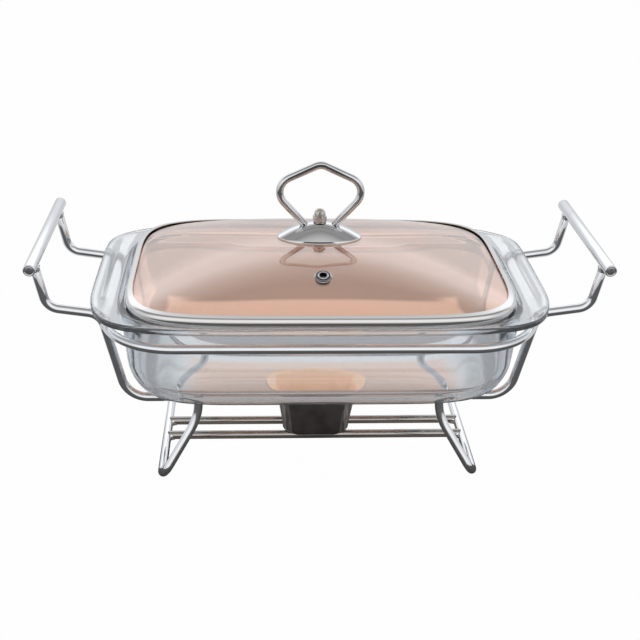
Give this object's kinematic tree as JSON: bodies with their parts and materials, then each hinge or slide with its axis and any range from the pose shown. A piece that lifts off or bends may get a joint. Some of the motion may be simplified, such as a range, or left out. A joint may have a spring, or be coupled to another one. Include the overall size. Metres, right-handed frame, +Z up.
{
  "type": "chafing dish",
  "caption": "Glass chafing dish with an amber domed lid, a lid loop and steam vent, on a chrome wire stand with bar handles, sled feet and a candle burner on rails.",
  "frame": {"origin": "on the table, midway between the two feet and between the front and the rear", "axes": "+X along the dish from one handle bar to the other, +Y from the front to the rear, +Z up"},
  "size_m": [0.431, 0.208, 0.2382],
  "materials": {
    "chrome_wire": "bright plated steel wire",
    "cap_steel": "satin plugs in the bar ends",
    "burner_steel": "pressed dark stainless steel",
    "clear_glass": "clear pressed glass with a blue-green edge",
    "amber_glass": "tempered glass with an amber half-mirror tint",
    "rim_steel": "bright rolled stainless band",
    "handle_chrome": "bright plated steel",
    "nut_nickel": "bright nickel plate",
    "silicone": "translucent white silicone",
    "foil_aluminium": "drawn foil",
    "candle_wax": "soft white paraffin",
    "wick_cotton": "braided cotton"
  },
  "bodies": {
    "stand": {"front_guard_wire": "chrome_wire", "rear_guard_wire": "chrome_wire", "front_cradle_wire": "chrome_wire", "rear_cradle_wire": "chrome_wire", "left_handle_bar": "chrome_wire", "right_handle_bar": "chrome_wire", "left_bar_end_caps": "cap_steel", "right_bar_end_caps": "cap_steel", "left_foot": "chrome_wire", "right_foot": "chrome_wire", "front_rail": "chrome_wire", "rear_rail": "chrome_wire"},
    "dish": {"glass_dish": "clear_glass"},
    "lid": {"lid_glass": "amber_glass", "lid_rim_band": "rim_steel", "vent_eyelet": "handle_chrome", "vent_washer": "handle_chrome", "handle_plate": "handle_chrome", "handle_loop": "handle_chrome", "cap_nut": "nut_nickel", "nut_washer": "nut_nickel", "lid_screw": "nut_nickel", "inner_washer": "nut_nickel", "inner_gasket": "silicone", "outer_bush": "silicone"},
    "burner": {"burner_cup": "burner_steel"},
    "tealight": {"tealight_case": "foil_aluminium", "tealight_wax": "candle_wax", "wick": "wick_cotton", "wick_sustainer": "nut_nickel"}
  },
  "joints": [
    {"name": "dish_lift", "type": "slide", "parent": "stand", "child": "dish", "axis": [0, 0, 1], "range_m": [0, 0.12]},
    {"name": "lid_lift", "type": "slide", "parent": "dish", "child": "lid", "axis": [0, 0, 1], "range_m": [0, 0.15]},
    {"name": "burner_slide", "type": "slide", "parent": "stand", "child": "burner", "axis": [1, 0, 0], "range_m": [-0.08, 0.08]},
    {"name": "tealight_lift", "type": "slide", "parent": "burner", "child": "tealight", "axis": [0, 0, 1], "range_m": [0, 0.025]}
  ]
}
